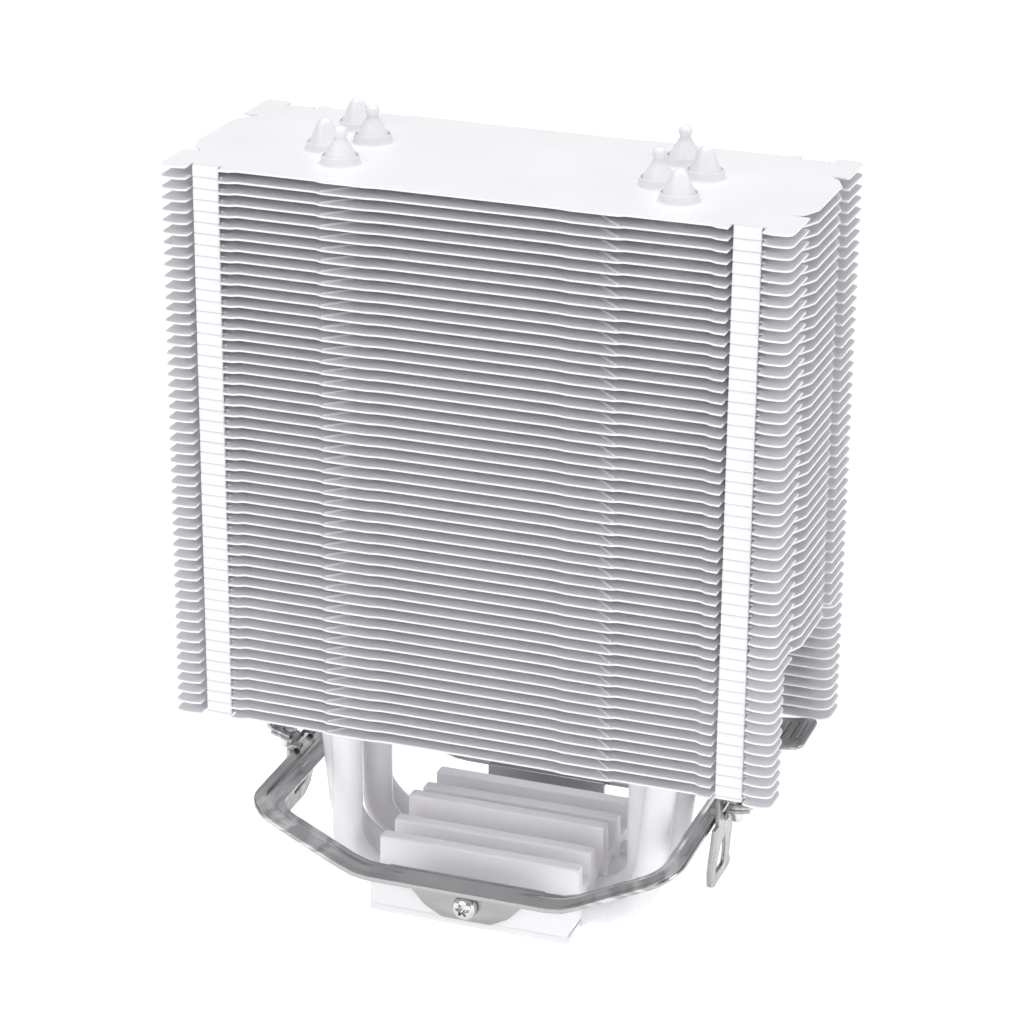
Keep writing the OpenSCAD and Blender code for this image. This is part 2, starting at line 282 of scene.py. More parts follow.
def merge(bm, other, place):
    """Moves a mesh by the matrix place and adds it to bm."""
    bmesh.ops.transform(other, matrix=place, verts=other.verts)
    part = bpy.data.meshes.new("part")
    other.to_mesh(part)
    other.free()
    bm.from_mesh(part)
    bpy.data.meshes.remove(part)


def bridge(bm, a, b):
    """Joins two rings with the same number of points by a band of faces."""
    for k in range(len(a)):
        m = (k + 1) % len(a)
        bm.faces.new((a[k], a[m], b[m], b[k]))


def circle(x, y, r, count=40):
    return [
        (x + r * math.cos(2 * math.pi * k / count), y + r * math.sin(2 * math.pi * k / count))
        for k in range(count)
    ]


def arc_points(centre, radius, start, end, steps):
    """Points on a circle, angles in degrees from its first axis towards its second."""
    return [
        (
            centre[0] + radius * math.cos(math.radians(start + (end - start) * k / steps)),
            centre[1] + radius * math.sin(math.radians(start + (end - start) * k / steps)),
        )
        for k in range(steps + 1)
    ]


def round_corners(points, steps=5):
    """Rounds the corners of a closed outline. Each point is (x, y, radius)."""
    out = []
    count = len(points)
    for k, (x, y, radius) in enumerate(points):
        here = Vector((x, y))
        before = Vector(points[k - 1][:2]) - here
        after = Vector(points[(k + 1) % count][:2]) - here
        reach = min(before.length, after.length) * 0.49
        turn = before.angle(after)
        cut = radius / math.tan(turn / 2) if turn < math.pi - 0.01 else 0
        cut = min(cut, reach)
        if cut < 1e-3:
            out.append((x, y))
            continue
        start, end = here + before.normalized() * cut, here + after.normalized() * cut
        for s in range(steps + 1):
            t = s / steps
            spot = start * (1 - t) ** 2 + here * 2 * t * (1 - t) + end * t**2
            out.append((spot.x, spot.y))
    return out


def lathe(bm, profile, at, count=40):
    """Adds an upright turned shape: profile is (radius, height) pairs from one end to the other."""
    rings = []
    for radius, height in profile:
        level = circle(0, 0, radius, count) if radius > 1e-6 else [(0, 0)]
        rings.append([bm.verts.new(Vector((x, y, height)) + Vector(at)) for x, y in level])
    for low, high in zip(rings, rings[1:]):
        if len(low) == len(high):
            bridge(bm, low, high)
            continue
        for k in range(count):
            m = (k + 1) % count
            if len(low) == 1:
                bm.faces.new((low[0], high[m], high[k]))
            else:
                bm.faces.new((low[k], low[m], high[0]))
    for ring in (rings[0], rings[-1]):
        if len(ring) > 1:
            bm.faces.new(ring)


def rounded_box(bm, low, high, bevel):
    """Adds a box with all its edges rounded."""
    low, high = Vector(low), Vector(high)
    made = bmesh.ops.create_cube(bm, size=1.0)["verts"]
    for v in made:
        v.co = Vector([low[k] + (v.co[k] + 0.5) * (high[k] - low[k]) for k in range(3)])
    edges = list({e for v in made for e in v.link_edges})
    bmesh.ops.bevel(
        bm, geom=edges, offset=bevel, segments=2, profile=0.5, affect="EDGES", clamp_overlap=True
    )


# ---------------------------------------------------------------- fins


def front_quarter(is_cut):
    """Outline of the right front quarter, from the middle of the front to the side."""
    points = [
        (15.0, -23.5, 4),
        (17.5, -23.6, 2),
        (19.4, -23.95, 1.5),
        (28.2, -23.95, 1.0),
        (29.4, -23.35, 1.0),
        (45.1, -23.25, 1.0),
        (46.3, -23.95, 0.8),
        (48.4, -24.1, 0.3),
        (48.4, -21.4, 0.1),
        (TAB_IN, -21.4, 0.1),
        (TAB_IN, -22.25, 0.02),
        (TAB_OUT, -22.25, 0.02),
        (TAB_OUT, -21.4, 0.1),
        (54.6, -21.4, 0.1),
        (54.6, -24.25, 0.3),
        (56.3, -24.7, 1.5),
        (60.1, -24.55, 4.4),
    ]
    if is_cut:
        return points + [(60.1, -16.0, 2.8), (44.0, -16.0, 0.8)]
    return points + [
        (60.1, -13.1, 0.5),
        (56.8, -13.3, 0.15),
        (56.8, -12.9, 0.15),
        (58.65, -11.3, 0.8),
        (59.5, -9.4, 0.8),
        (60.2, -7.7, 1.5),
    ]


def fin_outline(is_cut):
    """Closed outline, the same at the front and the back and on the left and the right."""
    quarter = front_quarter(is_cut)
    half = quarter + [(x, -y, r) for x, y, r in reversed(quarter)]
    return round_corners(half + [(-x, y, r) for x, y, r in reversed(half)])


def leg_places():
    """(x, y) of every pipe leg."""
    places = []
    for i, y in enumerate(PIPE_YS):
        left, right = (LEG_IN, LEG_OUT) if i % 2 == 0 else (LEG_OUT, LEG_IN)
        places += [(-left, y), (right, y)]
    return places


def crease(bm, start, end, width, height, z):
    """Low embossed line on a fin."""
    a, b = Vector(start), Vector(end)
    side = Vector((-(b - a).y, (b - a).x)).normalized() * width / 2
    low = [bm.verts.new((p.x, p.y, z)) for p in (a - side, a + side, b + side, b - side)]
    high = [bm.verts.new((p.x, p.y, z + height)) for p in (a * 0.97 + b * 0.03, b * 0.97 + a * 0.03)]
    for face in (
        (low[0], low[1], high[0]),
        (low[1], low[2], high[1], high[0]),
        (low[2], low[3], high[1]),
        (low[3], low[0], high[0], high[1]),
    ):
        bm.faces.new(face)


def add_tab(bm, sx, sy, push, lean, height):
    """Folded tab that hangs from the edge of its fin, with a soft bend at the top."""
    t = FIN_T
    face = TAB_FACE + push
    bend = 0.45
    section = []
    for k in range(6):
        a = math.radians(90 * k / 5)
        section.append((face - bend + bend * math.sin(a), t - 0.004 - bend + bend * math.cos(a)))
    section.append((face + lean, t - height))
    section.append((face + lean - t * 0.9, t - height))
    section.append((face - t, -0.05))
    section.append((TAB_FACE - 0.6, 0.004))
    section.append((TAB_FACE - 0.6, t - 0.004))
    columns = [TAB_IN, TAB_IN + 0.12, TAB_OUT - 0.12, TAB_OUT]
    inset = [0.12, 0.0, 0.0, 0.12]
    rings = []
    for x, less in zip(columns, inset):
        ring = []
        for y, z in section:
            depth = less if y > face - bend else 0
            ring.append(bm.verts.new((sx * x, sy * (y - depth), z)))
        rings.append(ring)
    for a, b in zip(rings, rings[1:]):
        bridge(bm, a, b)
    bm.faces.new(rings[0])
    bm.faces.new(rings[-1])


def fin_bmesh(index, rng, top=False):
    """One fin at z = 0 with its holes, collars, folded tabs and embossed lines."""
    tab_height = FIN_T + LOWEST_TAB if index == 0 else FIN_PITCH - 0.03
    raised = 0.08 if top else 0.3
    hole = PIPE_R + (0.45 if top else 0.05)
    bm = plate(fin_outline(index < CUT_FINS), [circle(x, y, hole) for x, y in leg_places()], FIN_T, 0.09)
    for sx in (-1, 1):
        for sy in (-1, 1):
            add_tab(bm, sx, sy, rng.uniform(-0.03, 0.03), rng.uniform(-0.05, 0.02), tab_height)
            outer, inner = ((sx * x, sy * y) for x, y in (CREASE_OUTER, CREASE_INNER))
            crease(bm, outer, inner, CREASE_W, raised, FIN_T - 0.01)
    for x, y in leg_places():
        if top:
            height = COLLAR_TOP - TOP_FIN
            lathe(
                bm,
                [
                    (PIPE_R + 1.15, FIN_T - 0.02),
                    (PIPE_R + 0.8, FIN_T + 0.12),
                    (PIPE_R + 0.6, FIN_T + 0.5),
                    (PIPE_R + 0.58, height - 0.12),
                    (PIPE_R + 0.5, height),
                    (PIPE_R + 0.32, height - 0.03),
                    (PIPE_R + 0.22, height - 0.25),
                    (PIPE_R + 0.2, -0.2),
                    (PIPE_R + 0.5, -0.2),
                    (PIPE_R + 0.5, 0.1),
                ],
                (x, y, 0),
                count=56,
            )
        else:
            lathe(
                bm,
                [
                    (PIPE_R + 0.75, FIN_T - 0.02),
                    (PIPE_R + 0.5, FIN_T + 0.1),
                    (PIPE_R + 0.38, FIN_T + 0.35),
                    (PIPE_R + 0.36, FIN_PITCH - 0.03),
                    (PIPE_R + 0.05, FIN_PITCH - 0.03),
                ],
                (x, y, 0),
                count=28,
            )
    return bm


def build_fins():
    """One piece for each group of fins, and the top fin by itself."""
    rng = random.Random(7)
    for g, node in enumerate(FIN_GROUPS):
        last = min((g + 1) * GROUP, FIN_COUNT - 1)
        together = bmesh.new()
        for index in range(g * GROUP, last):
            height = FIN_START + index * FIN_PITCH
            merge(together, fin_bmesh(index, rng), Matrix.Translation((0, 0, height)))
        from_mesh(node + "_coated", finish_bmesh(together, node, 20), FIN_WHITE, "tower", node)
    top = fin_bmesh(FIN_COUNT - 1, rng, top=True)
    bmesh.ops.translate(top, verts=top.verts, vec=(0, 0, TOP_FIN))
    from_mesh("fin_top_coated", finish_bmesh(top, "fin_top", 20), FIN_WHITE, "tower", "fin_top")


build_fins()


# ---------------------------------------------------------------- heat pipes


def leg_path(far, top):
    """Centre line of a leg in the XZ plane, from the edge of the base up to height top."""
    start, z0 = 20.5, PIPE_R
    if not far:
        radius = LEG_IN - start
        points = arc_points((start, z0 + radius), radius, -90, 0, 24)
    else:
        radius, lean, back = 13.0, 6.0, 20.0
        points = arc_points((start, z0 + radius), radius, -90, -lean, 24)
        x1, z1 = points[-1]
        x2 = LEG_OUT - back * (1 - math.cos(math.radians(lean)))
        z2 = z1 + (x2 - x1) / math.tan(math.radians(lean))
        points += arc_points((LEG_OUT - back, z2 + back * math.sin(math.radians(lean))), back, -lean, 0, 6)
    points.append((points[-1][0], top))
    return points


def sweep_pipe(bm, points, y, radius, count=48):
    """Round pipe along points in the XZ plane at that y, with a milled flat under the base."""
    rings = []
    for k, (x, z) in enumerate(points):
        before = Vector(points[max(k - 1, 0)])
        after = Vector(points[min(k + 1, len(points) - 1)])
        along = (after - before).normalized()
        across = Vector((along.y, -along.x))
        ring = []
        for j in range(count):
            a = 2 * math.pi * j / count
            side, up = radius * math.sin(a), across * radius * math.cos(a)
            if abs(x) < BASE_HX + 0.01 and z < radius + 0.01 and up.y < 0 and abs(side) < PIPE_FLAT:
                up.y = -radius
            ring.append(bm.verts.new((x + up.x, y + side, z + up.y)))
        rings.append(ring)
    for a, b in zip(rings, rings[1:]):
        bridge(bm, a, b)


def pinched_end(bm, x, y, z, turn):
    """Closed end pressed flat on four sides."""
    count = 48
    levels = [
        (0.0, 3.0, 0.0),
        (0.25, 2.9, 0.0),
        (0.5, 2.72, 0.05),
        (1.4, 2.45, 0.5),
        (2.4, 2.1, 0.85),
        (3.3, 1.72, 1.0),
        (3.9, 1.35, 1.0),
        (4.3, 0.95, 0.9),
        (4.5, 0.45, 0.6),
    ]
    rings = []
    for height, radius, pinch in levels:
        ring = []
        for j in range(count):
            a = 2 * math.pi * j / count
            fold = 1 - 0.17 * pinch * (0.5 + 0.5 * math.cos(4 * (a - turn))) ** 1.5
            ring.append(
                bm.verts.new(
                    (x + radius * fold * math.cos(a), y + radius * fold * math.sin(a), z + height)
                )
            )
        rings.append(ring)
    for a, b in zip(rings, rings[1:]):
        bridge(bm, a, b)
    tip = bm.verts.new((x, y, z + 4.58))
    for j in range(count):
        bm.faces.new((rings[-1][j], rings[-1][(j + 1) % count], tip))


def beaded_end(bm, x, y, z):
    """Closed end with a small bead on its tip."""
    lathe(
        bm,
        [
            (3.0, 0.0),
            (2.9, 0.25),
            (2.7, 0.5),
            (2.25, 1.5),
            (1.6, 2.6),
            (1.15, 3.3),
            (1.02, 3.6),
            (1.12, 3.85),
            (1.32, 4.3),
            (1.36, 4.7),
            (1.22, 5.15),
            (0.85, 5.5),
            (0.4, 5.66),
            (0.0, 5.7),
        ],
        (x, y, z),
    )


def build_pipes():
    """Four bent pipes, each with a pinched and a beaded end."""
    rng = random.Random(3)
    for i, y in enumerate(PIPE_YS):
        node = f"heatpipe_{i + 1}"
        top = COLLAR_TOP - 0.3
        even = i % 2 == 0
        bm = bmesh.new()
        left = [(-x, z) for x, z in leg_path(not even, top)]
        right = leg_path(even, top)
        sweep_pipe(bm, list(reversed(left)) + right, y, PIPE_R)
        ends = [(left[-1][0], even), (right[-1][0], not even)]
        for x, bead in ends:
            if bead:
                beaded_end(bm, x, y, top)
            else:
                pinched_end(bm, x, y, top, rng.uniform(0.5, 0.9))
        bmesh.ops.remove_doubles(bm, verts=bm.verts, dist=1e-4)
        piece = from_mesh(f"{node}_coated", finish_bmesh(bm, node, 50), PIPE_WHITE, "tower", node)
        mill_underside(piece, MILLED_COPPER)


build_pipes()


# ---------------------------------------------------------------- base


def build_base():
    """Ridged block above, and the contact plate below it as bars between the pipes' flats."""
    ridge_top, tall_top = 13.5, BASE_HIGH.z
    low, shoulder, shoulder_y = 8.4, 7.3, 16.9
    half, pitch = 1.5, 7.6
    profile = [
        (-BASE_HY, PLATE_T, 0.05),
        (-BASE_HY, shoulder, 0.5),
        (-shoulder_y, shoulder, 0.6),
    ]
    for k in range(-2, 3):
        y = k * pitch
        top = tall_top if k == 0 else ridge_top
        if k == -2:
            profile += [(y - half, top, 0.45), (y + half, top, 0.45), (y + half + 0.35, low, 0.9)]
        elif k == 2:
            profile += [(y - half - 0.35, low, 0.9), (y - half, top, 0.45), (y + half, top, 0.45)]
        else:
            profile += [
                (y - half - 0.35, low, 0.9),
                (y - half, top, 0.45),
                (y + half, top, 0.45),
                (y + half + 0.35, low, 0.9),
            ]
    profile += [(shoulder_y, shoulder, 0.6), (BASE_HY, shoulder, 0.5), (BASE_HY, PLATE_T, 0.05)]
    bm = plate(round_corners(profile, 4), [], 2 * BASE_HX, 0.3)
    turn = Matrix.Translation((-BASE_HX, 0, 0)) @ Matrix(
        ((0, 0, 1, 0), (1, 0, 0, 0), (0, 1, 0, 0), (0, 0, 0, 1))
    )
    bmesh.ops.transform(bm, matrix=turn, verts=bm.verts)
    block = finish_bmesh(bm, "base_block")
    from_mesh("base_block_coated", block, BASE_WHITE, "tower", "base_block")

    bm = bmesh.new()
    inset = 0.15
    slot_sides = [y + s * (PIPE_FLAT + 0.04) for y in PIPE_YS for s in (-1, 1)]
    edges = [inset - BASE_HY, *slot_sides, BASE_HY - inset]
    for low_y, high_y in zip(edges[::2], edges[1::2]):
        rounded_box(bm, (inset - BASE_HX, low_y, 0.0), (BASE_HX - inset, high_y, PLATE_T - inset), 0.15)
    bars = finish_bmesh(bm, "contact_plate")
    piece = from_mesh("contact_plate_milled", bars, BASE_WHITE, "tower", "contact_plate")
    mill_underside(piece, MILLED_PLATE)


build_base()


# ---------------------------------------------------------------- mounting frame

FRAME_T = 1.0
FRAME_TOP = 11.8
WING_X = 20.8
WING_ANGLE = math.radians(26.5)
WING_BEND_R = 11.0
RING_OUTER, RING_INNER = 43.6, 38.7
RING_OUTER_YS, RING_OUTER_R = (-29.0, 29.0), 6.5
RING_INNER_YS, RING_INNER_R = (-22.9, 24.0), 3.4
RIB_H, RIB_W, RIB_START, RIB_RISE = 0.42, 0.13, 12.5, 5.0
REAR_TAB_X = 12.5
TILT = math.radians(1.6)


def bend_up(x, lift):
    """Flat pattern distance x from the middle, and height above the sheet, to bent (x, z)."""
    radius = WING_BEND_R
    reach = radius * math.tan(WING_ANGLE / 2)
    sign, x = math.copysign(1, x), abs(x)
    start = WING_X - reach
    arc = radius * WING_ANGLE
    if x <= start:
        return sign * x, lift
    if x <= start + arc:
        a = (x - start) / radius
        return sign * (start + (radius - lift) * math.sin(a)), radius - (radius - lift) * math.cos(a)
    rest = x - start - arc
    bx = start + radius * math.sin(WING_ANGLE) + rest * math.cos(WING_ANGLE)
    bz = radius * (1 - math.cos(WING_ANGLE)) + rest * math.sin(WING_ANGLE)
    return sign * (bx - lift * math.sin(WING_ANGLE)), bz + lift * math.cos(WING_ANGLE)


def ring_loop(hx, low_y, high_y, radius, steps):
    """Closed loop with stations that pair up between the inner and the outer edge of the ring."""
    middle, hy = (low_y + high_y) / 2, (high_y - low_y) / 2
    straight = 26
    bends = []
    for sx, sy, angle in ((1, -1, -90), (1, 1, 0), (-1, 1, 90), (-1, -1, 180)):
        centre = (sx * (hx - radius), middle + sy * (hy - radius))
        bends.append(arc_points(centre, radius, angle, angle + 90, steps))
    points = []
    for k, bend in enumerate(bends):
        start, end = Vector(bend[-1]), Vector(bends[(k + 1) % 4][0])
        points += bend + [tuple(start.lerp(end, s / straight)) for s in range(1, straight)]
    return points


def build_frame():
    """Ring of sheet with an embossed rib on its wings, and the tabs that hold the screws."""
    extra = 2 * WING_BEND_R * math.tan(WING_ANGLE / 2) - WING_BEND_R * WING_ANGLE
    outer_x = WING_X + (RING_OUTER - WING_X) / math.cos(WING_ANGLE) - extra
    inner_x = WING_X + (RING_INNER - WING_X) / math.cos(WING_ANGLE) - extra
    outer = ring_loop(outer_x, *RING_OUTER_YS, RING_OUTER_R, 10)
    inner = ring_loop(inner_x, *RING_INNER_YS, RING_INNER_R, 10)
    across = [0.0, 0.02, 0.08, 0.2, 0.3, 0.38, 0.46, 0.54, 0.62, 0.7, 0.8, 0.92, 0.98, 1.0]
    tilt = Matrix.Translation((0, 0, FRAME_TOP)) @ Matrix.Rotation(TILT, 4, "X")
    bm = bmesh.new()
    rings = []
    for (ix, iy), (ox, oy) in zip(inner, outer):
        mid_x = abs(ix + ox) / 2
        fade = min(max((mid_x - RIB_START) / RIB_RISE, 0), 1)
        fade = fade * fade * (3 - 2 * fade)
        top, under = [], []
        for u in across:
            x, y = ix + (ox - ix) * u, iy + (oy - iy) * u
            rib = RIB_H * fade * math.exp(-(((u - 0.5) / RIB_W) ** 2))
            edge = 0.22 if u in (0.0, 1.0) else 0.05 if u in (0.02, 0.98) else 0.0
            bx, bz = bend_up(x, rib - edge)
            top.append(bm.verts.new(tilt @ Vector((bx, y, bz))))
            bx, bz = bend_up(x, rib + edge - FRAME_T)
            under.append(bm.verts.new(tilt @ Vector((bx, y, bz))))
        rings.append(top + list(reversed(under)))
    for a, b in zip(rings, rings[1:] + rings[:1]):
        bridge(bm, a, b)

    add_tabs(bm)
    from_mesh(
        "mounting_frame_polished", finish_bmesh(bm, "mounting_frame", 40), FRAME_STEEL_PAINTED_REFLECTIONS, "frame",
        "mounting_frame",
    )


def add_tabs(bm):
    """Tabs that hang from the bars down the front and the back of the base."""
    front_y = -BASE_HY - 0.1
    outline = [
        (-5.0, 2.0, 0.8),
        (5.0, 2.0, 0.8),
        (8.6, 3.9, 4.0),
        (11.6, 7.2, 5.0),
        (14.5, 9.6, 4.0),
        (17.5, 10.6, 0.5),
        (-17.5, 10.6, 0.5),
        (-14.5, 9.6, 4.0),
        (-11.6, 7.2, 5.0),
        (-8.6, 3.9, 4.0),
    ]
    add_upright(bm, round_corners(outline), front_y)
    rear = [
        (-REAR_TAB_X, 2.0, 1.0),
        (REAR_TAB_X, 2.0, 1.0),
        (REAR_TAB_X, 12.6, 0.3),
        (-REAR_TAB_X, 12.6, 0.3),
    ]
    add_upright(bm, round_corners(rear), BASE_HY + 0.1 + FRAME_T)
    rounded_box(bm, (-REAR_TAB_X, BASE_HY + 0.3, 11.5), (REAR_TAB_X, BASE_HY + 3, 12.5), 0.2)
    rounded_box(bm, (-16.0, -BASE_HY - 1.1, 10.2), (16.0, -BASE_HY - 0.12, 11.1), 0.3)


def add_upright(bm, outline, y):
    """Upright sheet with that outline in the XZ plane and its front face at y."""
    sheet = plate(outline, [circle(0, SCREW_Z, 1.55)], FRAME_T, 0.12)
    turn = Matrix.Translation((0, y, 0)) @ Matrix(
        ((1, 0, 0, 0), (0, 0, -1, 0), (0, 1, 0, 0), (0, 0, 0, 1))
    )
    merge(bm, sheet, turn)


build_frame()


# ---------------------------------------------------------------- screws


def star(radius, count):
    """Outline of the recess, with six soft points."""
    points = []
    for k, (x, y) in enumerate(circle(0, 0, radius, count)):
        reach = 0.78 + 0.22 * math.cos(6 * 2 * math.pi * k / count)
        points.append((x * reach, y * reach))
    return points


def build_screw(node, body, axis, y):
    """Pan head screw with a star recess. y is where the shank starts inside the base."""
    bm = bmesh.new()
    count = 48
    turn = Matrix.Rotation(math.radians(-90 if axis == "Y" else 90), 3, "X")
    recess = star(1.45, count)
    levels = []
    for radius, height in [
        (1.45, 0.0), (1.45, 7.2), (2.35, 7.22), (2.45, 7.35), (2.45, 7.95), (2.36, 8.35), (2.1, 8.75),
        (1.8, 9.0),
    ]:
        levels.append([(*point, height) for point in circle(0, 0, radius, count)])
    for share, height in [(1.1, 9.22), (1.0, 9.2), (0.94, 9.05), (0.9, 8.1), (0.5, 7.9)]:
        levels.append([(across * share, up * share, height) for across, up in recess])
    rings = [
        [bm.verts.new(turn @ Vector(p) + Vector((0, y, SCREW_Z))) for p in level] for level in levels
    ]
    for a, b in zip(rings, rings[1:]):
        bridge(bm, a, b)
    bm.faces.new(rings[0])
    bm.faces.new(rings[-1])
    from_mesh(f"{node}_bright", finish_bmesh(bm, node, 32), CHROME, body, node)


build_screw("frame_screw_front", "screw_front", "-Y", -BASE_HY + 6)
build_screw("frame_screw_rear", "screw_rear", "Y", BASE_HY - 6)


# ---------------------------------------------------------------- hooks, levers and rivets

HOOK_T = 0.8
HOOK_L = 14.8
HOOK_Y = -2.0
HOOK_LEAN = math.radians(5)
LEFT_SWING = math.radians(9)
LIP_YS, LIP_W = (-2.8, 4.0), 1.6
EAR_YS, EAR_H = (-6.0, -3.5), 5.2
CURL_R = 0.55
TONGUE_Y, TONGUE_Z = 0.8, 0.05
TONGUE_RISE = math.radians(8)
RIVET_X, RISER_X = 2.9, 6.1
PAD_TOP, PAD_Y, PAD_L, PAD_W = 18.8, -1.0, 11.5, 13.0
SHEET = Matrix.Translation((0, 0, FRAME_TOP - FRAME_T)) @ Matrix.Rotation(TILT, 4, "X")
EDGE = Matrix.Translation((43.877, 0, 12.064))
RIGHT_EDGE = SHEET @ EDGE
LEFT_EDGE = SHEET @ Matrix.Rotation(math.pi, 4, "Z") @ EDGE @ Matrix.Rotation(-LEFT_SWING, 4, "Y")
RISING = Matrix.Translation((0, TONGUE_Y, TONGUE_Z)) @ Matrix.Rotation(-TONGUE_RISE, 4, "Y")


def strip(bm, path, edges, chamfer=0.14):
    """Bent sheet along a path in the XZ plane. edges gives its two sides in Y at a point of the path."""
    rings = []
    half = HOOK_T / 2
    for k, (x, z) in enumerate(path):
        before = Vector(path[max(k - 1, 0)])
        after = Vector(path[min(k + 1, len(path) - 1)])
        along = (after - before).normalized()
        low, high = edges(x, z)
        ring = []
        for out, y in [
            (-half, low + chamfer), (-half, high - chamfer), (chamfer - half, high), (half - chamfer, high),
            (half, high - chamfer), (half, low + chamfer), (half - chamfer, low), (chamfer - half, low),
        ]:
            ring.append(bm.verts.new((x - along.y * out, y, z + along.x * out)))
        rings.append(ring)
    for a, b in zip(rings, rings[1:]):
        bridge(bm, a, b)
    bm.faces.new(rings[0])
    bm.faces.new(rings[-1])


def rising(x, z):
    """Point of the rising tongue in the XZ plane."""
    spot = RISING @ Vector((x, 0, z))
    return spot.x, spot.z


def build_hook(node, body, edge):
    """Plate with a window that hangs on the rim by its lips, with its ear and its tongue."""
    outline = [
        (-1.9, 0.0, 2.2),
        (7.8, 0.0, 0.8),
        (8.8, 0.7, 0.6),
        (8.4, 1.6, 0.8),
        (7.0, 3.2, 2.0),
        (7.0, HOOK_L, 0.2),
        (-6.1, HOOK_L, 0.2),
        (-6.5, 5.0, 4.0),
        (-5.0, 1.6, 2.5),
    ]
    window = [
        (-2.2, 3.1, 0.8),
        (3.4, 2.6, 0.8),
        (3.8, 3.8, 0.8),
        (2.9, 8.0, 2.0),
        (1.8, 9.8, 0.8),
        (0.1, 9.6, 0.8),
        (-1.4, 7.4, 2.0),
    ]
    bm = bmesh.new()
    sheet = plate(round_corners(outline), [list(reversed(round_corners(window)))], HOOK_T, 0.16)
    lean = Matrix.Rotation(HOOK_LEAN, 4, "Y")
    upright = Matrix(((0, 0, 1, 0), (1, 0, 0, 0), (0, 1, 0, 0), (0, 0, 0, 1)))
    hang = Matrix.Translation((0, HOOK_Y, 0)) @ lean @ Matrix.Translation((CURL_R, 0, -HOOK_L))
    merge(bm, sheet, hang @ upright)
    curl = CURL_R + HOOK_T / 2
    for y in LIP_YS:
        path = [(curl * math.cos(HOOK_LEAN) - 0.06, -curl * math.sin(HOOK_LEAN) - 0.7)]
        path += arc_points((0, 0), curl, -5, 90, 10)
        path.append((-1.4, curl))
        strip(bm, path, lambda x, z, y=y: (y - LIP_W / 2, y + LIP_W / 2))
    strip(bm, [(curl, -0.3), (curl, EAR_H - 0.3)], lambda x, z: EAR_YS)
    path = [rising(CURL_R + HOOK_T / 2, -1.4), rising(CURL_R + HOOK_T / 2, 0.4), rising(5.95, 0.4)]
    bent = round_corners([(*path[0], 0), (*path[1], 0.9), (*path[2], 0)])
    strip(bm, bent, lambda x, z: (TONGUE_Y - 2.2, TONGUE_Y + 2.2))
    bmesh.ops.transform(bm, matrix=edge, verts=bm.verts)
    from_mesh(f"{node}_polished", finish_bmesh(bm, node, 30), HOOK_STEEL, body, node)


def build_lever(node, body, edge):
    """Riser that is bent up from the tongue, with its ribbed pad."""
    bm = bmesh.new()
    foot_z = HOOK_T * 1.5
    start = rising(2.0, foot_z)
    corner = rising((RISER_X + HOOK_T / 2 + foot_z * math.sin(TONGUE_RISE)) / math.cos(TONGUE_RISE), foot_z)
    bent = round_corners([(*start, 0), (*corner, 0.9), (corner[0], 4.2, 0), (corner[0], PAD_TOP - 0.5, 0)])

    def sides(x, z):
        share = min(max((z - 2.6) / 1.6, 0), 1)
        return -1.4 - 1.8 * share, 3.0 + 0.2 * share

    strip(bm, bent, sides)
    half_w = PAD_W / 2
    pad = plate(
        round_corners([(0, -half_w, 2.8), (PAD_L, -half_w, 2.8), (PAD_L, half_w, 2.8), (0, half_w, 2.8)]),
        [], HOOK_T, 0.2,
    )
    for x in (6.15, 7.85, 9.5):
        rounded_box(pad, (x - 0.28, -2.8, 0.5), (x + 0.28, 4.4, HOOK_T + 0.3), 0.2)
    place = (
        Matrix.Translation((RISER_X, PAD_Y, PAD_TOP))
        @ Matrix.Rotation(-TONGUE_RISE, 4, "Y")
        @ Matrix.Translation((0, 0, -HOOK_T))
    )
    merge(bm, pad, place)
    bmesh.ops.transform(bm, matrix=edge, verts=bm.verts)
    from_mesh(f"{node}_polished", finish_bmesh(bm, node, 30), LEVER_STEEL, body, node)


def build_rivet(node, body, edge):
    """Rivet with its head below the tongue and its closed end above the lever's foot."""
    bm = bmesh.new()
    profile = [
        (0.0, -2.5), (0.75, -2.45), (1.1, -2.25), (1.3, -1.9), (1.32, -0.02), (1.0, 0.0), (1.0, 1.6),
        (1.3, 1.62), (1.3, 1.85), (1.05, 2.1), (0.0, 2.2),
    ]
    lathe(bm, profile, (RIVET_X, 0, 0))
    bmesh.ops.transform(bm, matrix=edge @ RISING, verts=bm.verts)
    from_mesh(f"{node}_bright", finish_bmesh(bm, node), CHROME, body, node)


for label, edge_place in (("right", RIGHT_EDGE), ("left", LEFT_EDGE)):
    build_hook(f"hook_{label}", f"{label}_clip", edge_place)
    build_lever(f"thumb_lever_{label}", f"{label}_clip", edge_place)
    build_rivet(f"lever_rivet_{label}", f"{label}_clip", edge_place)


# ---------------------------------------------------------------- floor, light and camera


def build_floor():
    bpy.ops.mesh.primitive_plane_add(size=6, location=(0, 0, 0))
    floor = bpy.context.object
    floor.name = "floor"
    n = Nodes("floor")
    n.set(Base_Color=grey(0.95), Roughness=0.9)
    n.shader.inputs["Emission Color"].default_value = (1, 1, 1, 1)
    n.shader.inputs["Emission Strength"].default_value = 0.5
    floor.data.materials.append(n.material)


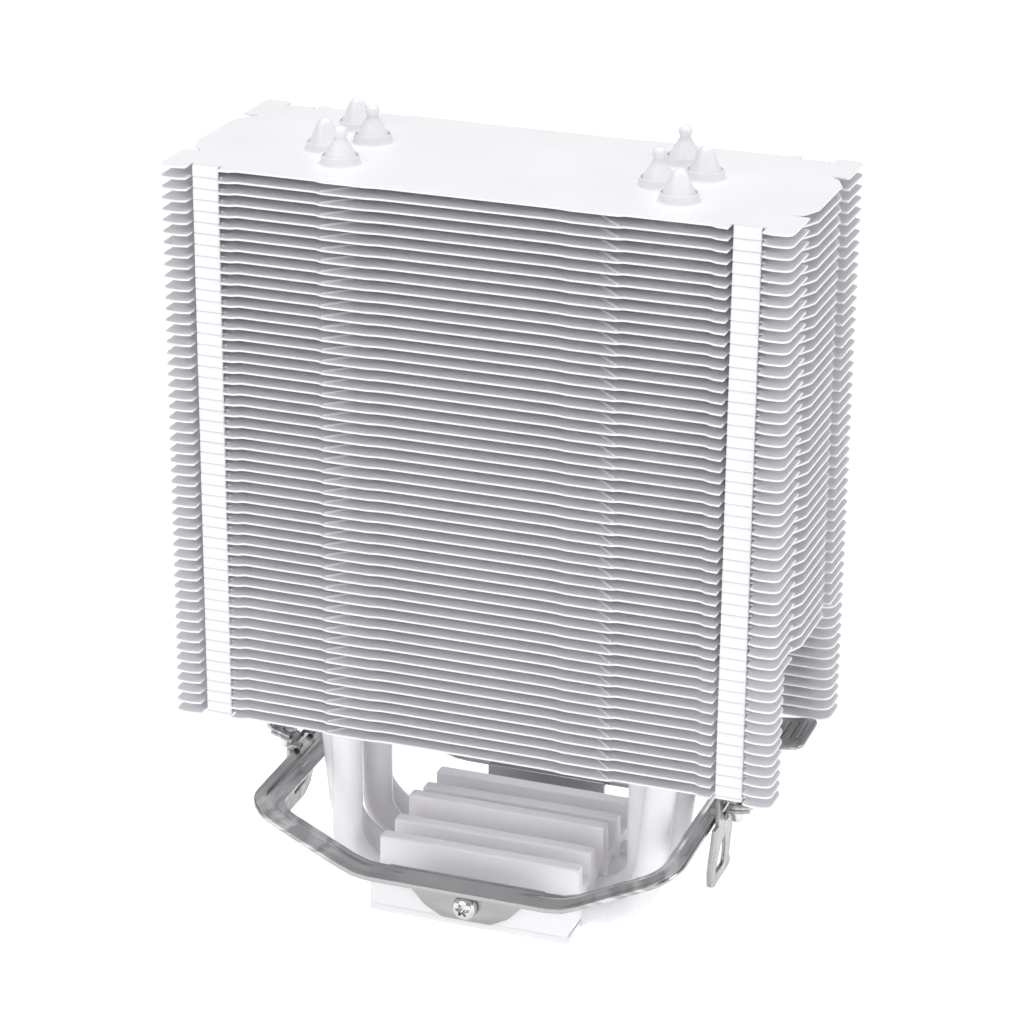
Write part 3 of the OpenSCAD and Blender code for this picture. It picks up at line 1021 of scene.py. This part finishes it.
def build_world():
    """White studio that is bright overhead and at the horizon and dimmer in between."""
    world = bpy.data.worlds.new("studio")
    world.use_nodes = True
    tree = world.node_tree
    place = tree.nodes.new("ShaderNodeTexCoord")
    split = tree.nodes.new("ShaderNodeSeparateXYZ")
    ramp = tree.nodes.new("ShaderNodeValToRGB")
    stops = [(0.0, 0.85), (0.25, 0.6), (0.6, 0.42), (0.9, 1.0)]
    while len(ramp.color_ramp.elements) < len(stops):
        ramp.color_ramp.elements.new(0.5)
    for element, (height, light) in zip(ramp.color_ramp.elements, stops):
        element.position = height
        element.color = (light, light, light, 1)
    tree.links.new(place.outputs["Generated"], split.inputs["Vector"])
    tree.links.new(split.outputs["Z"], ramp.inputs["Fac"])
    tree.links.new(ramp.outputs["Color"], tree.nodes["Background"].inputs["Color"])
    tree.nodes["Background"].inputs["Strength"].default_value = 0.62
    bpy.context.scene.world = world


def area_light(name, place, target, size, power):
    lamp = bpy.data.lights.new(name, "AREA")
    lamp.shape = "RECTANGLE"
    lamp.size, lamp.size_y = size
    lamp.energy = power
    holder = bpy.data.objects.new(name, lamp)
    bpy.context.scene.collection.objects.link(holder)
    holder.location = place
    holder.rotation_mode = "QUATERNION"
    holder.rotation_quaternion = (Vector(target) - Vector(place)).to_track_quat("-Z", "Y")


def build_camera():
    """Camera 20 degrees to the right of the front and 22 degrees up, with a long lens."""
    data = bpy.data.cameras.new("camera")
    data.sensor_width = 36
    data.lens = 120.27
    data.clip_start, data.clip_end = 0.01, 20
    camera = bpy.data.objects.new("camera", data)
    bpy.context.scene.collection.objects.link(camera)
    camera.location = Vector((207.28, -568.83, 321.11)) * MM
    camera.rotation_mode = "QUATERNION"
    look = Vector((-0.3173, 0.8723, -0.3722))
    roll = Matrix.Rotation(math.radians(-0.45), 3, look)
    turn = look.to_track_quat("-Z", "Y").to_matrix()
    camera.rotation_quaternion = (roll @ turn).to_quaternion()
    bpy.context.scene.camera = camera


build_floor()
build_world()
area_light("overhead", (0.0, 0.1, 1.3), (0, 0, 0.15), (1.0, 1.0), 10.4)
area_light("front", (-0.35, -1.3, 0.16), (0, 0, 0.06), (1.2, 0.5), 1.9)
area_light("raised", (-0.3, -1.0, 0.7), (0, 0, 0.06), (0.9, 0.6), 2.6)
area_light("side", (1.2, -0.35, 0.35), (0, 0, 0.08), (0.7, 0.6), 3.3)
build_camera()
bpy.context.scene.view_settings.view_transform = "Standard"
